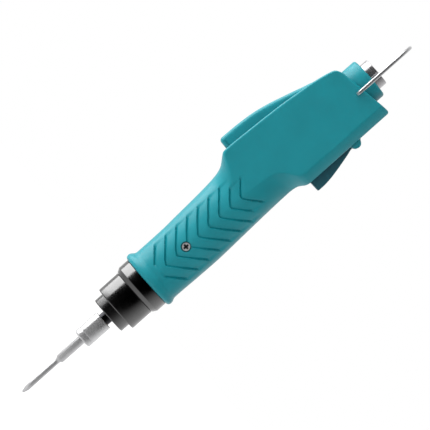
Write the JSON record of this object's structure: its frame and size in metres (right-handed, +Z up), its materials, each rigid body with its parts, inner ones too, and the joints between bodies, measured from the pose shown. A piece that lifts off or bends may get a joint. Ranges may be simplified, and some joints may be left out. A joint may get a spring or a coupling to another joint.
{
  "type": "electric torque screwdriver",
  "caption": "Slim lever-start electric screwdriver with a ribbed grip, boxy head, torque nut, quick-change bit sleeve, round cord socket and wire hanging bail.",
  "frame": {"origin": "where a balancer's hook bears, on the inside of the bail's top, on the spindle axis", "axes": "+Z up the spindle axis from the bit to the tail as the tool hangs, -X towards the start lever, +X towards the direction lever, Y across the parting plane"},
  "size_m": [0.0548, 0.0346, 0.2729],
  "materials": {
    "housing_plastic": "satin moulded",
    "dark_lever_plastic": "satin moulded",
    "screw_steel": "blackened",
    "pin_steel": "ground",
    "spring_steel": "drawn wire",
    "wire_steel": "plated wire",
    "plated_metal": "nickel plated",
    "black_insulator": "moulded",
    "contact_brass": "plated",
    "board_laminate": "lacquered",
    "capacitor_sleeve": "shrunk sleeve",
    "button_plastic": "moulded",
    "blackened_metal": "gloss black plated",
    "spindle_steel": "blackened",
    "bearing_bronze": "sintered bronze",
    "gear_steel": "hardened",
    "ball_steel": "polished",
    "mount_aluminium": "machined",
    "magnet_ferrite": "sintered",
    "core_steel": "stacked laminations",
    "winding_copper": "enamelled copper",
    "brush_carbon": "graphite",
    "sleeve_steel": "polished",
    "bit_steel": "ground"
  },
  "bodies": {
    "housing": {"shell_near": "housing_plastic", "shell_far": "housing_plastic", "tail_collar": "housing_plastic", "grip_screws": "screw_steel", "case_screws": "screw_steel", "board_screws": "screw_steel", "start_lever_pin": "pin_steel", "direction_lever_pin": "pin_steel", "lever_spring": "spring_steel", "socket_shell": "plated_metal", "socket_nut": "plated_metal", "socket_insert": "black_insulator", "socket_contacts": "contact_brass", "circuit_board": "board_laminate", "capacitor": "capacitor_sleeve", "start_switch": "black_insulator", "direction_switch": "black_insulator", "clutch_barrel": "blackened_metal", "carrier_bush": "bearing_bronze", "ring_gear": "gear_steel", "motor_mount": "mount_aluminium", "motor_screws": "screw_steel", "motor_can": "plated_metal", "motor_magnets": "magnet_ferrite", "motor_bushes": "bearing_bronze", "motor_end_cap": "black_insulator", "motor_brushes": "brush_carbon", "torque_spring": "spring_steel"},
    "bail": {"hanger_bail": "wire_steel"},
    "start_lever": {"start_lever": "housing_plastic"},
    "start_button": {"start_switch_button": "button_plastic"},
    "direction_lever": {"direction_lever": "dark_lever_plastic"},
    "direction_button": {"direction_switch_button": "button_plastic"},
    "spring_seat": {"thrust_washer": "pin_steel"},
    "torque_nut": {"torque_nut": "blackened_metal", "nose_bush": "bearing_bronze"},
    "clutch_plate": {"clutch_plate": "gear_steel"},
    "spindle": {"spindle": "spindle_steel", "clutch_balls": "ball_steel", "snap_ring": "spring_steel", "latch_balls": "ball_steel", "sleeve_spring": "spring_steel", "screwdriver_bit": "bit_steel"},
    "bit_sleeve": {"bit_sleeve": "sleeve_steel"},
    "rotor": {"motor_shaft": "pin_steel", "rotor_core": "core_steel", "rotor_windings": "winding_copper", "commutator": "winding_copper", "motor_pinion": "gear_steel"},
    "first_carrier": {"first_carrier": "gear_steel"},
    "cam": {"clutch_cam": "gear_steel"},
    "planet_1a": {"planet_1a": "gear_steel"},
    "planet_1b": {"planet_1b": "gear_steel"},
    "planet_1c": {"planet_1c": "gear_steel"},
    "planet_2a": {"planet_2a": "gear_steel"},
    "planet_2b": {"planet_2b": "gear_steel"},
    "planet_2c": {"planet_2c": "gear_steel"}
  },
  "joints": [
    {"name": "bail_swing", "type": "hinge", "parent": "housing", "child": "bail", "pos_m": [0, 0, -0.0358], "axis": [0, 1, 0], "range_deg": [-90, 90]},
    {"name": "start_lever_press", "type": "hinge", "parent": "housing", "child": "start_lever", "pos_m": [-0.0166, 0, -0.0476], "axis": [0, -1, 0], "range_deg": [0, 2.9], "stiffness_Nm_per_rad": 0.4, "springref_deg": -3.44, "deforming": ["lever_spring"]},
    {"name": "start_button_press", "type": "slide", "parent": "housing", "child": "start_button", "axis": [1, 0, 0], "range_m": [0, 0.001]},
    {"name": "direction_lever_turn", "type": "hinge", "parent": "housing", "child": "direction_lever", "pos_m": [0.0182, 0, -0.0537], "axis": [0, 1, 0], "range_deg": [0, 7]},
    {"name": "direction_button_press", "type": "slide", "parent": "housing", "child": "direction_button", "axis": [-1, 0, 0], "range_m": [0, 0.00195]},
    {"name": "spring_seat_slide", "type": "slide", "parent": "housing", "child": "spring_seat", "axis": [0, 0, -1], "range_m": [0, 0.003], "deforming": ["torque_spring"]},
    {"name": "torque_nut_turn", "type": "hinge", "parent": "spring_seat", "child": "torque_nut", "pos_m": [0, 0, -0.2016], "axis": [0, 0, -1], "range_deg": [0, 1080]},
    {"name": "clutch_plate_lift", "type": "slide", "parent": "housing", "child": "clutch_plate", "axis": [0, 0, -1], "range_m": [0, 0.0006], "stiffness_N_per_m": 2000, "springref_m": -0.002, "deforming": ["torque_spring"]},
    {"name": "motor_turn", "type": "hinge", "parent": "housing", "child": "rotor", "pos_m": [0, 0, -0.1336], "axis": [0, 0, 1], "continuous": true},
    {"name": "first_carrier_turn", "type": "hinge", "parent": "housing", "child": "first_carrier", "pos_m": [0, 0, -0.1716], "axis": [0, 0, 1], "continuous": true},
    {"name": "cam_turn", "type": "hinge", "parent": "housing", "child": "cam", "pos_m": [0, 0, -0.1816], "axis": [0, 0, 1], "continuous": true},
    {"name": "spindle_turn", "type": "hinge", "parent": "housing", "child": "spindle", "pos_m": [0, 0, -0.2036], "axis": [0, 0, 1], "continuous": true},
    {"name": "bit_sleeve_pull", "type": "slide", "parent": "spindle", "child": "bit_sleeve", "axis": [0, 0, -1], "range_m": [0, 0.002], "stiffness_N_per_m": 800, "springref_m": -0.001, "deforming": ["sleeve_spring"]},
    {"name": "planet_1a_spin", "type": "hinge", "parent": "first_carrier", "child": "planet_1a", "pos_m": [0.006, 0, -0.1636], "axis": [0, 0, 1], "continuous": true},
    {"name": "planet_1b_spin", "type": "hinge", "parent": "first_carrier", "child": "planet_1b", "pos_m": [-0.003, 0.0052, -0.1636], "axis": [0, 0, 1], "continuous": true},
    {"name": "planet_1c_spin", "type": "hinge", "parent": "first_carrier", "child": "planet_1c", "pos_m": [-0.003, -0.0052, -0.1636], "axis": [0, 0, 1], "continuous": true},
    {"name": "planet_2a_spin", "type": "hinge", "parent": "cam", "child": "planet_2a", "pos_m": [0.006, 0, -0.1766], "axis": [0, 0, 1], "continuous": true},
    {"name": "planet_2b_spin", "type": "hinge", "parent": "cam", "child": "planet_2b", "pos_m": [-0.003, 0.0052, -0.1766], "axis": [0, 0, 1], "continuous": true},
    {"name": "planet_2c_spin", "type": "hinge", "parent": "cam", "child": "planet_2c", "pos_m": [-0.003, -0.0052, -0.1766], "axis": [0, 0, 1], "continuous": true}
  ],
  "couplings": [
    {"joint": "start_button_press", "follows": "start_lever_press", "m_per_rad": 0.018},
    {"joint": "direction_button_press", "follows": "direction_lever_turn", "m_per_rad": 0.0149},
    {"joint": "spring_seat_slide", "follows": "torque_nut_turn", "m_per_rad": 0.00015915},
    {"joint": "first_carrier_turn", "follows": "motor_turn", "ratio": 0.25},
    {"joint": "cam_turn", "follows": "motor_turn", "ratio": 0.0625},
    {"joint": "spindle_turn", "follows": "motor_turn", "ratio": 0.0625},
    {"joint": "planet_1a_spin", "follows": "motor_turn", "ratio": -0.75},
    {"joint": "planet_1b_spin", "follows": "motor_turn", "ratio": -0.75},
    {"joint": "planet_1c_spin", "follows": "motor_turn", "ratio": -0.75},
    {"joint": "planet_2a_spin", "follows": "motor_turn", "ratio": -0.1875},
    {"joint": "planet_2b_spin", "follows": "motor_turn", "ratio": -0.1875},
    {"joint": "planet_2c_spin", "follows": "motor_turn", "ratio": -0.1875}
  ]
}
